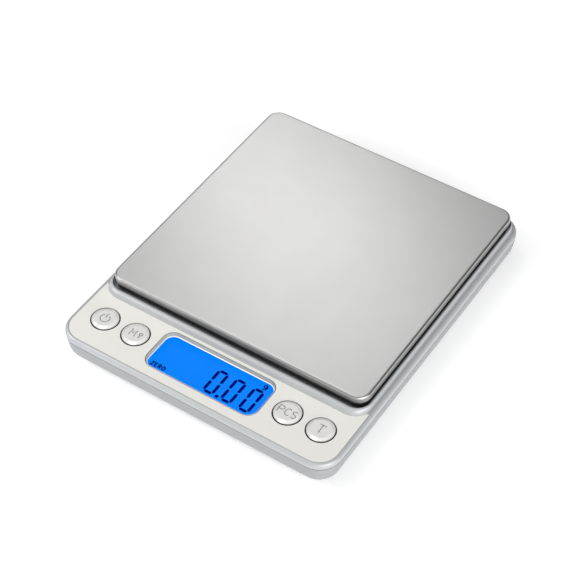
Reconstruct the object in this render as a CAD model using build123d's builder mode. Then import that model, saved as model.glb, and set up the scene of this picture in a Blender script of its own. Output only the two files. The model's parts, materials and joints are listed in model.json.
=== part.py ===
"""Digital gram scale: a flat electronic balance with a pressed steel weighing pan.

Frame: +Z up, +X to the user's right, the display and keys at the front (-Y).
Origin: on the table, under the middle of the body. Millimetres.
"""
import math
import os

from build123d import *

# ---------------------------------------------------------------- driving sizes
# weighing pan
PAN_WIDTH = 99.6
PAN_DEPTH = 100.2
PAN_CORNER = 4.6
PAN_SHEET = 0.6
PAN_SKIRT = 2.65
PAN_BEND = 0.9
# raised rim round the pan
WELL_GAP = 0.45
WELL_GAP_FRONT = 1.3
WELL_CORNER = 5.0
RIM_SIDE = 0.9
RIM_BACK = 0.6
RIM_FRONT = 2.0
RIM_RISE = 2.0
RIM_CORNER = 6.4
RIM_ROUND_FRONT = 1.1
RIM_ROUND_SIDE = 0.45
RIM_ROUND_BACK = 0.3
RIM_LEAN_FRONT = 0.4
RIM_LEAN_SIDE = 0.05
# body
SIDE_STRIP = 0.65
BACK_STRIP = 0.15
PANEL_DEPTH = 21.5
EDGE_ROUND = 1.2
BODY_CORNER = 8.2
FOOT_HEIGHT = 1.5
LOWER_HEIGHT = 9.6
LOWER_DRAFT = 8.0
LOWER_ROUND = 6.0
SEAM_GAP = 0.25
UPPER_EDGE = 2.15
WALL = 1.8
PANEL_WALL = 1.6
WELL_FLOOR = 1.4
WELL_DEPTH = 2.9
LIP_THICKNESS = 1.0
LIP_REACH = 1.45
LIP_CLEARANCE = 0.4
# inlaid face plate
FACE_THICKNESS = 0.5
FACE_JOINT = 0.14
FACE_RIM_JOINT = 0.03
FACE_DISPLAY_STEP = 0.3
# keys
KEY_DIAMETER = 9.3
KEY_GAP = 0.45
KEY_PROUD = 0.55
KEY_BEVEL_RUN = 1.15
KEY_BEVEL_RISE = 0.4
KEY_ROUND = 0.15
KEY_FLANGE = 1.0
KEY_FLANGE_THICKNESS = 1.1
KEY_SPACING = 3.1
KEY_TO_DISPLAY = 3.65
KEY_ROW_SETBACK = 13.2
STEM_DIAMETER = 4.0
# display
DISPLAY_WIDTH = 43.0
DISPLAY_DEPTH = 16.3
DISPLAY_CORNER = 3.8
WINDOW_THICKNESS = 1.0
WINDOW_MARGIN = 1.0
GLASS_THICKNESS = 2.0
GLASS_GAP = 0.1
LIGHT_GUIDE_THICKNESS = 1.9
LIGHT_GUIDE_GAP = 0.3
ZEBRA_WIDTH = 1.4
FRAME_LEDGE = 0.5
# circuit board
BOARD_THICKNESS = 1.2
BOARD_SIDE_GAP = 4.2
BOARD_FRONT_GAP = 2.1
BOARD_TUCK = 1.9
SWITCH_SIDE = 6.0
SWITCH_HEIGHT = 3.1
PLUNGER_PROUD = 0.6
PLUNGER_DIAMETER = 3.4
DOME_HEIGHT = 0.5
DOME_SHEET = 0.12
# load cell
CELL_LENGTH = 47.0
CELL_WIDTH = 12.0
CELL_HEIGHT = 6.0
CELL_LIFT = 1.1
CELL_HOLE_PITCH = 7.0
CELL_END = 2.5
CELL_WINDOW = 4.4
CELL_WINDOW_SPACING = 9.0
STOP_GAP = 0.4
COATING = 0.5
CELL_HEADROOM = 0.3
# carrier under the pan
CARRIER_PLATE = 2.2
CARRIER_SKIRT = 2.2
CARRIER_WALL = 1.2
CARRIER_FIT = 0.15
PAN_CLEARANCE = 0.9
RIM_CLEARANCE = 0.4
PAD_THICKNESS = 0.3
PAD_SIDE = 16.0
POST_LENGTH = 13.0
POST_WIDTH = 11.0
POST_CLEARANCE = 1.0
# batteries (two AAA cells)
BATTERY_DIAMETER = 10.4
BATTERY_LENGTH = 43.5
BATTERY_NUB = 1.0
BATTERY_NUB_DIAMETER = 3.8
BATTERY_GAP = 0.4
BATTERY_CLEARANCE = 0.2
BAY_SETBACK = 11.5
BAY_WALL = 1.2
HUMP_GAP = 0.3
SPRING_LENGTH = 4.7
SPRING_WIRE = 0.5
SPRING_DIAMETER = 6.0
CONTACT_THICKNESS = 0.4
CONTACT_SIDE = 8.0
DOOR_THICKNESS = 1.3
DOOR_GAP = 0.25
HINGE_ROLL = 0.95
HINGE_RELIEF = 0.3
HINGE_PIN = 0.5
HINGE_PIN_LENGTH = 1.0
HINGE_RUNNING = 0.05
# feet, screws, wires
BOSS_MEETING = 4.5
LOWER_BOSS_RADIUS = 3.2
UPPER_BOSS_RADIUS = 2.8
BOARD_BOSS_RADIUS = 2.2
HOUSING_SCREW_INSET = 11.5
FOOT_DIAMETER = 8.0
FOOT_INSET = 13.0
FOOT_RECESS = 0.4
FOOT_FIT = 0.1
SCREW_RADIUS = 1.2
SCREW_HEAD_RADIUS = 2.3
BOARD_SCREW_RADIUS = 0.9
BOARD_SCREW_HEAD = 1.8
M3_RADIUS = 1.5
M3_HEAD_RADIUS = 2.75
M3_HEAD_HEIGHT = 1.4
THREAD_FIT = 0.02
LEAD_RADIUS = 0.55
CELL_LEAD_RADIUS = 0.25

# ---------------------------------------------------------------- places worked out from them
BODY_WIDTH = PAN_WIDTH + 2 * (WELL_GAP + RIM_SIDE + SIDE_STRIP + EDGE_ROUND)
BODY_DEPTH = (
    EDGE_ROUND + BACK_STRIP + RIM_BACK + WELL_GAP + PAN_DEPTH
    + WELL_GAP_FRONT + RIM_FRONT + PANEL_DEPTH + EDGE_ROUND
)
FRONT = -BODY_DEPTH / 2
BACK = BODY_DEPTH / 2
BASE = FOOT_HEIGHT
FLOOR = BASE + WALL
SEAM = BASE + LOWER_HEIGHT
UPPER_LOW = SEAM + SEAM_GAP
PANEL = UPPER_LOW + UPPER_EDGE
PANEL_UNDER = PANEL - PANEL_WALL
RIM = PANEL + RIM_RISE
CELL_LOW = FLOOR + CELL_LIFT
CELL_TOP = CELL_LOW + CELL_HEIGHT
DECK_UNDER = max(RIM - WELL_DEPTH - WELL_FLOOR, CELL_TOP + COATING + CELL_HEADROOM)
DECK = DECK_UNDER + WELL_FLOOR

WELL_BACK = BACK - EDGE_ROUND - BACK_STRIP - RIM_BACK
PAN_Y = WELL_BACK - WELL_GAP - PAN_DEPTH / 2
WELL_FRONT = PAN_Y - PAN_DEPTH / 2 - WELL_GAP_FRONT
WELL_WIDTH = PAN_WIDTH + 2 * WELL_GAP
RIM_BASE_FRONT = WELL_FRONT - RIM_FRONT
RIM_BASE_BACK = WELL_BACK + RIM_BACK
RIM_BASE_WIDTH = WELL_WIDTH + 2 * RIM_SIDE

BATTERY_LOW = BASE + DOOR_THICKNESS + BATTERY_CLEARANCE
BATTERY_AXIS = BATTERY_LOW + BATTERY_DIAMETER / 2
HUMP_UNDER = BATTERY_AXIS + BATTERY_DIAMETER / 2 + BATTERY_CLEARANCE
HUMP_TOP = HUMP_UNDER + WELL_FLOOR
CARRIER_LOW = max(RIM + RIM_CLEARANCE, HUMP_TOP + PAN_CLEARANCE, DECK + CARRIER_SKIRT + PAN_CLEARANCE)
CARRIER_TOP = CARRIER_LOW + CARRIER_PLATE
PAN_UNDER = CARRIER_TOP + PAD_THICKNESS
PAN_TOP = PAN_UNDER + PAN_SHEET

BATTERY_PITCH = BATTERY_DIAMETER + BATTERY_GAP
BAY_BACK = BACK - BAY_SETBACK
BAY_DEPTH = BATTERY_PITCH + BATTERY_DIAMETER + 4 * BATTERY_CLEARANCE
BAY_FRONT = BAY_BACK - BAY_DEPTH
BAY_LENGTH = BATTERY_LENGTH + BATTERY_NUB + SPRING_LENGTH + 2 * CONTACT_THICKNESS
BAY_Y = (BAY_FRONT + BAY_BACK) / 2
BATTERY_Y = [BAY_Y - BATTERY_PITCH / 2, BAY_Y + BATTERY_PITCH / 2]

CELL_OUTER_HOLE = CELL_LENGTH / 2 - CELL_END
CELL_INNER_HOLE = CELL_OUTER_HOLE - CELL_HOLE_PITCH
POST_X = (CELL_OUTER_HOLE + CELL_INNER_HOLE) / 2

KEY_ROW = FRONT + KEY_ROW_SETBACK
KEY_INNER = DISPLAY_WIDTH / 2 + KEY_TO_DISPLAY + KEY_DIAMETER / 2
KEY_OUTER = KEY_INNER + KEY_DIAMETER + KEY_SPACING
KEY_PLACES = {
    "power": -KEY_OUTER,
    "mode": -KEY_INNER,
    "count": KEY_INNER,
    "tare": KEY_OUTER,
}
KEY_HOLE = KEY_DIAMETER / 2 + KEY_GAP
WINDOW_LOW = PANEL_UNDER - WINDOW_THICKNESS
GLASS_TOP = WINDOW_LOW - GLASS_GAP
GLASS_LOW = GLASS_TOP - GLASS_THICKNESS
BOARD_TOP = GLASS_LOW - LIGHT_GUIDE_GAP - LIGHT_GUIDE_THICKNESS
BOARD_LOW = BOARD_TOP - BOARD_THICKNESS
BOARD_WIDTH = BODY_WIDTH - 2 * (WALL + BOARD_SIDE_GAP)
BOARD_FRONT = FRONT + WALL + BOARD_FRONT_GAP
BOARD_BACK = RIM_BASE_FRONT + BOARD_TUCK
SCREW_BETWEEN_KEYS = (KEY_INNER + KEY_OUTER) / 2
BOARD_SCREWS = [
    (side * SCREW_BETWEEN_KEYS, KEY_ROW + shift) for side in (-1, 1) for shift in (-6.2, 7.75)
]
BODY_SCREWS = [
    (side * (BODY_WIDTH / 2 - HOUSING_SCREW_INSET), y)
    for side in (-1, 1)
    for y in (RIM_BASE_FRONT + 6.4, BAY_FRONT + 8)
]
FOOT_X = BODY_WIDTH / 2 - FOOT_INSET
FEET = {
    "front_left_foot": (-FOOT_X, FRONT + FOOT_INSET),
    "front_right_foot": (FOOT_X, FRONT + FOOT_INSET),
    "back_left_foot": (-FOOT_X, BACK - FOOT_INSET),
    "back_right_foot": (FOOT_X, BACK - FOOT_INSET),
}

os.makedirs("parts", exist_ok=True)


# ---------------------------------------------------------------- shared shapes
def block(width, depth, corner, low, high, centre=(0, 0), mode=Mode.ADD):
    """An upright block with rounded corners between two heights."""
    with BuildSketch(Plane.XY.offset(low)) as outline:
        with Locations(centre):
            if corner > 0:
                RectangleRounded(width, depth, corner)
            else:
                Rectangle(width, depth)
    extrude(outline.sketch, amount=high - low, mode=mode)


def posts(radius, low, high, places, mode=Mode.ADD):
    """Round posts, or round holes, between two heights."""
    with BuildSketch(Plane.XY.offset(low)) as outline:
        with Locations(*places):
            Circle(radius)
    extrude(outline.sketch, amount=high - low, mode=mode)


def leaning_block(low_size, high_size, low, high, mode=Mode.ADD):
    """A block whose outline changes from one (width, depth, corner, y) to another."""
    outlines = []
    for (width, depth, corner, y), height in ((low_size, low), (high_size, high)):
        with BuildSketch(Plane.XY.offset(height)) as outline:
            with Locations((0, y)):
                RectangleRounded(width, depth, corner)
        outlines.append(outline.sketch)
    loft(outlines, ruled=True, mode=mode)


def bowl_size(inset, drop):
    """Outline of the lower housing, inset by a wall, at a drop below the seam."""
    lean = inset + drop * math.tan(math.radians(LOWER_DRAFT))
    return BODY_WIDTH - 2 * lean, BODY_DEPTH - 2 * lean, BODY_CORNER - lean, 0


def save(piece, name):
    """Label a finished piece and write it."""
    piece.part.label = name
    export_step(piece.part, f"parts/{name}.step")


# ---------------------------------------------------------------- bottom housing
with BuildPart() as bottom_housing:
    leaning_block(bowl_size(0, LOWER_HEIGHT), bowl_size(0, 0), BASE, SEAM)
    fillet(bottom_housing.faces().sort_by(Axis.Z)[0].edges(), radius=LOWER_ROUND)
    leaning_block(bowl_size(WALL, SEAM - FLOOR), bowl_size(WALL, 0), FLOOR, SEAM, mode=Mode.SUBTRACT)
    floor_edges = bottom_housing.edges().filter_by_position(Axis.Z, FLOOR - 0.01, FLOOR + 0.01)
    fillet(floor_edges, radius=LOWER_ROUND - WALL)
    # battery bay walls
    block(
        BAY_LENGTH + 2 * BAY_WALL, BAY_DEPTH + 2 * BAY_WALL, 1.0,
        BASE + 0.5, HUMP_UNDER - HUMP_GAP, (0, BAY_Y),
    )
    block(BAY_LENGTH, BAY_DEPTH, 0, FLOOR, HUMP_UNDER, (0, BAY_Y), mode=Mode.SUBTRACT)
    # screw bosses, load cell seat and overload stop boss
    posts(LOWER_BOSS_RADIUS, FLOOR - 0.2, BASE + BOSS_MEETING, BODY_SCREWS)
    block(POST_LENGTH, CELL_WIDTH, 0.8, FLOOR - 0.2, CELL_LOW, (-POST_X, PAN_Y))
    posts(3.0, FLOOR - 0.2, FLOOR + 0.3, [(CELL_OUTER_HOLE, PAN_Y)])
    # holes for the screws, heads sunk in the underside
    posts(SCREW_RADIUS + 0.2, BASE, BASE + BOSS_MEETING, BODY_SCREWS, mode=Mode.SUBTRACT)
    posts(SCREW_HEAD_RADIUS + 0.3, BASE, BASE + 2.5, BODY_SCREWS, mode=Mode.SUBTRACT)
    cell_screw_places = [(-CELL_OUTER_HOLE, PAN_Y), (-CELL_INNER_HOLE, PAN_Y)]
    posts(M3_RADIUS + 0.15, BASE, CELL_LOW, cell_screw_places, mode=Mode.SUBTRACT)
    posts(M3_HEAD_RADIUS + 0.25, BASE, BASE + M3_HEAD_HEIGHT + 0.1, cell_screw_places, mode=Mode.SUBTRACT)
    posts(M3_RADIUS + THREAD_FIT, BASE, FLOOR + 0.3, [(CELL_OUTER_HOLE, PAN_Y)], mode=Mode.SUBTRACT)
    # recesses for the rubber feet
    posts(FOOT_DIAMETER / 2 + FOOT_FIT, BASE, BASE + FOOT_RECESS, list(FEET.values()), mode=Mode.SUBTRACT)
    # door opening with a round relief for the hinge roll, and bores for its pins
    door_axis_y = BAY_FRONT + HINGE_ROLL - 0.2
    door_axis_z = BASE + HINGE_ROLL
    door_width = BAY_LENGTH - 1.8
    door_back = BAY_BACK + 0.2
    door_opening = door_back + DOOR_GAP - door_axis_y
    block(
        door_width + 2 * DOOR_GAP, door_opening, 0, BASE, FLOOR + 0.01,
        (0, door_axis_y + door_opening / 2), mode=Mode.SUBTRACT,
    )
    hinge_plane = Plane(origin=(0, door_axis_y, door_axis_z), x_dir=(0, 1, 0), z_dir=(1, 0, 0))
    with BuildSketch(hinge_plane):
        Circle(HINGE_ROLL + HINGE_RELIEF)
    extrude(amount=door_width / 2 + DOOR_GAP, both=True, mode=Mode.SUBTRACT)
    with BuildSketch(hinge_plane):
        Circle(HINGE_PIN + HINGE_RUNNING)
    extrude(amount=door_width / 2 + HINGE_PIN_LENGTH + 0.4, both=True, mode=Mode.SUBTRACT)
    # fingernail scoop behind the door
    with BuildSketch(Plane.XY.offset(BASE)):
        with Locations((0, door_back + DOOR_GAP)):
            SlotCenterToCenter(9.0, 4.0)
    extrude(amount=0.8, mode=Mode.SUBTRACT)
    # slots for the tabs of the left contacts
    for y in BATTERY_Y:
        block(
            2 * BAY_WALL, 3.2, 0, BATTERY_AXIS - 1.0, BATTERY_AXIS + 1.0,
            (-BAY_LENGTH / 2 - BAY_WALL / 2, y), mode=Mode.SUBTRACT,
        )
save(bottom_housing, "bottom_housing")

# ---------------------------------------------------------------- top housing
lip_outer = WALL + LIP_CLEARANCE
lip_inner = lip_outer + LIP_THICKNESS
rim_base_depth = RIM_BASE_BACK - RIM_BASE_FRONT
rim_base_y = (RIM_BASE_BACK + RIM_BASE_FRONT) / 2
well_depth = WELL_BACK - WELL_FRONT
well_y = (WELL_BACK + WELL_FRONT) / 2
face_low = PANEL - FACE_THICKNESS
face_margin = EDGE_ROUND
face_back = RIM_BASE_FRONT + 3.9
hump_length = BAY_LENGTH + 2 * (BAY_WALL + HUMP_GAP)
hump_depth = BAY_DEPTH + 2 * (BAY_WALL + HUMP_GAP)


def face_outline(margin, rim_margin):
    """Plan of the inlaid face plate: the front of the panel, up to the foot of the rim."""
    depth = face_back - FRONT - 2 * margin
    with Locations((0, FRONT + margin + depth)):
        RectangleRounded(BODY_WIDTH - 2 * margin, 2 * depth, BODY_CORNER - margin)
    with Locations((0, FRONT + margin + 1.5 * depth + margin)):
        Rectangle(BODY_WIDTH, depth, mode=Mode.SUBTRACT)
    with Locations((0, rim_base_y)):
        RectangleRounded(
            RIM_BASE_WIDTH + 2 * rim_margin, rim_base_depth + 2 * rim_margin, RIM_CORNER + rim_margin,
            mode=Mode.SUBTRACT,
        )


def rim_outline(share):
    """Plan of the rim at a share of its rise: steep at the foot, rolling over into the crest."""
    roll = 1 - math.sqrt(1 - share**2)
    front = RIM_ROUND_FRONT * roll + RIM_LEAN_FRONT * share
    side = RIM_ROUND_SIDE * roll + RIM_LEAN_SIDE * share
    back = RIM_ROUND_BACK * roll
    with BuildSketch(Plane.XY.offset(PANEL + RIM_RISE * share)) as outline:
        with Locations((0, rim_base_y + (front - back) / 2)):
            RectangleRounded(RIM_BASE_WIDTH - 2 * side, rim_base_depth - front - back, RIM_CORNER - side)
    return outline.sketch


with BuildPart() as top_housing:
    block(BODY_WIDTH, BODY_DEPTH, BODY_CORNER, UPPER_LOW, PANEL)
    fillet(top_housing.faces().sort_by(Axis.Z)[-1].edges(), radius=EDGE_ROUND)
    loft([rim_outline(share) for share in (0, 0.4, 0.7, 0.88, 0.97, 1)])
    # hollow underside, then the lip that locates the two housings
    block(
        BODY_WIDTH - 2 * lip_inner, BODY_DEPTH - 2 * lip_inner, BODY_CORNER - lip_inner,
        UPPER_LOW, PANEL_UNDER, mode=Mode.SUBTRACT,
    )
    with BuildSketch(Plane.XY.offset(UPPER_LOW - LIP_REACH)):
        RectangleRounded(BODY_WIDTH - 2 * lip_outer, BODY_DEPTH - 2 * lip_outer, BODY_CORNER - lip_outer)
        RectangleRounded(
            BODY_WIDTH - 2 * lip_inner, BODY_DEPTH - 2 * lip_inner, BODY_CORNER - lip_inner,
            mode=Mode.SUBTRACT,
        )
    extrude(amount=LIP_REACH + 0.1)
    # well under the pan, and its floor
    floor_inset = 2 * (lip_inner - 0.5)
    block(
        BODY_WIDTH - floor_inset, well_depth + 1.0, WELL_CORNER - 2, DECK_UNDER, PANEL_UNDER,
        (0, well_y - 0.5),
    )
    block(WELL_WIDTH, well_depth, WELL_CORNER, DECK, RIM + 0.1, (0, well_y), mode=Mode.SUBTRACT)
    # hump over the batteries
    block(hump_length + 2 * BAY_WALL, hump_depth + 2 * BAY_WALL, 2.0, DECK - 0.2, HUMP_TOP, (0, BAY_Y))
    fillet(top_housing.faces().filter_by(Plane.XY).filter_by_position(
        Axis.Z, HUMP_TOP - 0.01, HUMP_TOP + 0.01).edges(), radius=0.6)
    block(hump_length, hump_depth, 1.0, DECK_UNDER - 0.1, HUMP_UNDER, (0, BAY_Y), mode=Mode.SUBTRACT)
    # way through the well floor for the carrier's post
    block(
        POST_LENGTH + 2 * POST_CLEARANCE, POST_WIDTH + 2 * POST_CLEARANCE, 1.0,
        DECK_UNDER - 0.1, DECK + 0.1, (POST_X, PAN_Y), mode=Mode.SUBTRACT,
    )
    # pocket for the face plate
    with BuildSketch(Plane.XY.offset(face_low)):
        face_outline(face_margin, 0)
    extrude(amount=FACE_THICKNESS + 0.01, mode=Mode.SUBTRACT)
    # display opening and key holes
    block(
        DISPLAY_WIDTH, DISPLAY_DEPTH, DISPLAY_CORNER, PANEL_UNDER - 0.1, face_low + 0.1,
        (0, KEY_ROW), mode=Mode.SUBTRACT,
    )
    posts(
        KEY_HOLE, PANEL_UNDER - 0.1, face_low + 0.1, [(x, KEY_ROW) for x in KEY_PLACES.values()],
        mode=Mode.SUBTRACT,
    )
    # bosses for the board screws and for the housing screws
    posts(BOARD_BOSS_RADIUS, BOARD_TOP, PANEL_UNDER + 0.1, BOARD_SCREWS)
    posts(BOARD_SCREW_RADIUS + THREAD_FIT, BOARD_TOP, BOARD_TOP + 4.2, BOARD_SCREWS, mode=Mode.SUBTRACT)
    posts(UPPER_BOSS_RADIUS, BASE + BOSS_MEETING, DECK_UNDER + 0.1, BODY_SCREWS)
    posts(SCREW_RADIUS + THREAD_FIT, BASE + BOSS_MEETING, BASE + 9.4, BODY_SCREWS, mode=Mode.SUBTRACT)
save(top_housing, "top_housing")

# ---------------------------------------------------------------- face plate
with BuildPart() as face_plate:
    with BuildSketch(Plane.XY.offset(face_low)):
        face_outline(face_margin + FACE_JOINT, FACE_RIM_JOINT)
        with Locations((0, KEY_ROW)):
            RectangleRounded(
                DISPLAY_WIDTH + 2 * FACE_DISPLAY_STEP, DISPLAY_DEPTH + 2 * FACE_DISPLAY_STEP,
                DISPLAY_CORNER + FACE_DISPLAY_STEP, mode=Mode.SUBTRACT,
            )
        with Locations(*[(x, KEY_ROW) for x in KEY_PLACES.values()]):
            Circle(KEY_HOLE, mode=Mode.SUBTRACT)
    extrude(amount=FACE_THICKNESS)
save(face_plate, "face_plate")

# ---------------------------------------------------------------- weighing pan
with BuildPart() as weighing_pan:
    block(PAN_WIDTH, PAN_DEPTH, PAN_CORNER, PAN_TOP - PAN_SKIRT, PAN_TOP, (0, PAN_Y))
    fillet(weighing_pan.faces().sort_by(Axis.Z)[-1].edges(), radius=PAN_BEND)
    block(
        PAN_WIDTH - 2 * PAN_SHEET, PAN_DEPTH - 2 * PAN_SHEET, PAN_CORNER - PAN_SHEET,
        PAN_TOP - PAN_SKIRT, PAN_UNDER, (0, PAN_Y), mode=Mode.SUBTRACT,
    )
    inner_edges = weighing_pan.edges().filter_by_position(Axis.Z, PAN_UNDER - 0.01, PAN_UNDER + 0.01)
    fillet(inner_edges, radius=PAN_BEND - PAN_SHEET)
save(weighing_pan, "weighing_pan")

# ---------------------------------------------------------------- carrier, pads and carrier screws
carrier_width = PAN_WIDTH - 2 * (PAN_SHEET + CARRIER_FIT)
carrier_depth = PAN_DEPTH - 2 * (PAN_SHEET + CARRIER_FIT)
carrier_corner = PAN_CORNER - PAN_SHEET - CARRIER_FIT
carrier_screw_places = [(CELL_INNER_HOLE, PAN_Y), (CELL_OUTER_HOLE, PAN_Y)]

with BuildPart() as pan_carrier:
    block(carrier_width, carrier_depth, carrier_corner, CARRIER_LOW, CARRIER_TOP, (0, PAN_Y))
    fillet(pan_carrier.faces().sort_by(Axis.Z)[-1].edges(), radius=0.4)
    with BuildSketch(Plane.XY.offset(CARRIER_LOW - CARRIER_SKIRT)):
        with Locations((0, PAN_Y)):
            RectangleRounded(carrier_width, carrier_depth, carrier_corner)
            RectangleRounded(
                carrier_width - 2 * CARRIER_WALL, carrier_depth - 2 * CARRIER_WALL,
                carrier_corner - CARRIER_WALL, mode=Mode.SUBTRACT,
            )
    extrude(amount=CARRIER_SKIRT + 0.1)
    # stiffening ribs clear of the battery hump, then the post that stands on the load cell
    rib_length = carrier_width - 2 * CARRIER_WALL + 0.4
    for y in (-36.0, -24.0, -12.0):
        block(rib_length, 1.2, 0, CARRIER_LOW - 1.6, CARRIER_LOW + 0.1, (0, PAN_Y + y))
    block(POST_LENGTH, POST_WIDTH, 1.0, CELL_TOP, CARRIER_LOW + 0.1, (POST_X, PAN_Y))
    with Locations(*[(x, y, CARRIER_TOP) for x, y in carrier_screw_places]):
        CounterSinkHole(M3_RADIUS + 0.15, M3_RADIUS + 1.5, depth=CARRIER_TOP - CELL_TOP + 1)
save(pan_carrier, "pan_carrier")

with BuildPart() as pan_pads:
    with BuildSketch(Plane.XY.offset(CARRIER_TOP)):
        with Locations((0, PAN_Y)):
            with GridLocations(PAN_WIDTH - 34, PAN_DEPTH - 34, 2, 2):
                RectangleRounded(PAD_SIDE, PAD_SIDE, 1.5)
    extrude(amount=PAD_THICKNESS)
save(pan_pads, "pan_pads")

with BuildPart() as carrier_screws:
    with BuildSketch(Plane.XZ.offset(-PAN_Y)):
        with BuildLine():
            Polyline(
                (0, CARRIER_TOP - 0.05), (M3_RADIUS + 1.3, CARRIER_TOP - 0.05),
                (M3_RADIUS, CARRIER_TOP - 1.35), (M3_RADIUS, CELL_LOW + 1.5), (0, CELL_LOW + 1.5),
                close=True,
            )
        make_face()
    revolve(axis=Axis((0, PAN_Y, 0), (0, 0, 1)))
    with BuildSketch(Plane.XY.offset(CARRIER_TOP - 0.05)):
        with Locations((0, PAN_Y)):
            Rectangle(2.6, 0.5)
            Rectangle(0.5, 2.6)
    extrude(amount=-0.7, mode=Mode.SUBTRACT)
screw_pair = Part() + [Pos(x, 0, 0) * carrier_screws.part for x, y in carrier_screw_places]
screw_pair.label = "carrier_screws"
export_step(screw_pair, "parts/carrier_screws.step")

# ---------------------------------------------------------------- load cell
with BuildPart() as load_cell:
    block(CELL_LENGTH, CELL_WIDTH, 0, CELL_LOW, CELL_TOP, (0, PAN_Y))
    chamfer(load_cell.edges().filter_by(Axis.Z), length=0.4)
    # two joined round windows make the thin flexures
    with BuildSketch(Plane.XZ.offset(-PAN_Y)):
        with Locations((0, (CELL_LOW + CELL_TOP) / 2)):
            with Locations((-CELL_WINDOW_SPACING / 2, 0), (CELL_WINDOW_SPACING / 2, 0)):
                Circle(CELL_WINDOW / 2)
            Rectangle(CELL_WINDOW_SPACING, 1.6)
    extrude(amount=CELL_WIDTH, both=True, mode=Mode.SUBTRACT)
    cell_holes = [(side * x, PAN_Y) for side in (-1, 1) for x in (CELL_OUTER_HOLE, CELL_INNER_HOLE)]
    posts(M3_RADIUS + THREAD_FIT, CELL_LOW - 1, CELL_TOP + 1, cell_holes, mode=Mode.SUBTRACT)
save(load_cell, "load_cell")

with BuildPart() as gauge_coating:
    for low in (CELL_LOW - COATING, CELL_TOP):
        block(17.0, 9.0, 2.0, low, low + COATING, (0, PAN_Y))
save(gauge_coating, "gauge_coating")

with BuildPart() as load_cell_screws:
    posts(M3_RADIUS, BASE + 1.2, CELL_TOP - 1.2, cell_screw_places)
    posts(M3_HEAD_RADIUS, BASE + 0.1, BASE + 0.1 + M3_HEAD_HEIGHT, cell_screw_places)
    with BuildSketch(Plane.XY.offset(BASE + 0.1)):
        with Locations(*cell_screw_places):
            Rectangle(3.0, 0.6)
            Rectangle(0.6, 3.0)
    extrude(amount=0.8, mode=Mode.SUBTRACT)
save(load_cell_screws, "load_cell_screws")

with BuildPart() as overload_stop:
    posts(M3_RADIUS, BASE + 0.2, CELL_LOW - STOP_GAP, [(CELL_OUTER_HOLE, PAN_Y)])
    with BuildSketch(Plane.XY.offset(BASE + 0.2)):
        with Locations((CELL_OUTER_HOLE, PAN_Y)):
            RegularPolygon(0.87, 6)
    extrude(amount=1.2, mode=Mode.SUBTRACT)
save(overload_stop, "overload_stop")

# ---------------------------------------------------------------- keys, switches and domes
switch_top = BOARD_TOP + SWITCH_HEIGHT
plunger_top = switch_top + PLUNGER_PROUD
flange_top = PANEL_UNDER - 0.05
flange_low = flange_top - KEY_FLANGE_THICKNESS
dome_low = BOARD_TOP + 0.5
plunger_low = dome_low + DOME_HEIGHT + 0.02

for key, x in KEY_PLACES.items():
    with BuildPart() as cap:
        posts(KEY_DIAMETER / 2, flange_top - 0.1, PANEL + KEY_PROUD, [(x, KEY_ROW)])
        top_face = cap.faces().sort_by(Axis.Z)[-1]
        chamfer(top_face.edges(), length=KEY_BEVEL_RUN, length2=KEY_BEVEL_RISE, reference=top_face)
        fillet(cap.faces().sort_by(Axis.Z)[-1].edges(), radius=KEY_ROUND)
        posts(KEY_HOLE + KEY_FLANGE - KEY_GAP, flange_low, flange_top, [(x, KEY_ROW)])
        posts(STEM_DIAMETER / 2, plunger_top, flange_low + 0.1, [(x, KEY_ROW)])
        # hollow skirt round the stem, as moulded
        with BuildSketch(Plane.XY.offset(flange_low)):
            with Locations((x, KEY_ROW)):
                Circle(KEY_DIAMETER / 2 - 1.0)
                Circle(STEM_DIAMETER / 2, mode=Mode.SUBTRACT)
        extrude(amount=PANEL - flange_low - 0.9, mode=Mode.SUBTRACT)
    save(cap, f"{key}_key")

    with BuildPart() as plunger:
        posts(PLUNGER_DIAMETER / 2, plunger_low, plunger_top, [(x, KEY_ROW)])
        chamfer(plunger.faces().sort_by(Axis.Z)[-1].edges(), length=0.25)
    save(plunger, f"{key}_plunger")

    with BuildPart() as dome:
        dome_radius = SWITCH_SIDE / 2 - 0.9
        posts(dome_radius, dome_low, dome_low + DOME_HEIGHT, [(x, KEY_ROW)])
        fillet(dome.faces().sort_by(Axis.Z)[-1].edges(), radius=DOME_HEIGHT - 0.05)
        posts(
            dome_radius - 2 * DOME_SHEET, dome_low, dome_low + DOME_HEIGHT - DOME_SHEET, [(x, KEY_ROW)],
            mode=Mode.SUBTRACT,
        )
    save(dome, f"{key}_dome")

with BuildPart() as switch_housings:
    for x in KEY_PLACES.values():
        block(SWITCH_SIDE, SWITCH_SIDE, 0.5, BOARD_TOP, switch_top, (x, KEY_ROW))
        place = (x, KEY_ROW)
        posts(PLUNGER_DIAMETER / 2 + 0.06, dome_low, switch_top + 1, [place], mode=Mode.SUBTRACT)
        posts(SWITCH_SIDE / 2 - 0.8, dome_low, dome_low + DOME_HEIGHT + 0.3, [place], mode=Mode.SUBTRACT)
save(switch_housings, "switch_housings")

# ---------------------------------------------------------------- display stack
glass_front = KEY_ROW - DISPLAY_DEPTH / 2 - 1.0
glass_back = KEY_ROW + DISPLAY_DEPTH / 2 + 0.6
glass_width = DISPLAY_WIDTH + 1.0
glass_depth = glass_back - glass_front
glass_y = (glass_back + glass_front) / 2
guide_front = glass_front + ZEBRA_WIDTH + 0.9
guide_depth = glass_back - 0.6 - guide_front
frame_wall = 0.5

with BuildPart() as lcd_window:
    block(
        DISPLAY_WIDTH + 2 * WINDOW_MARGIN, DISPLAY_DEPTH + 2 * WINDOW_MARGIN, 2.0,
        WINDOW_LOW, PANEL_UNDER, (0, KEY_ROW),
    )
save(lcd_window, "lcd_window")

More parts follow.
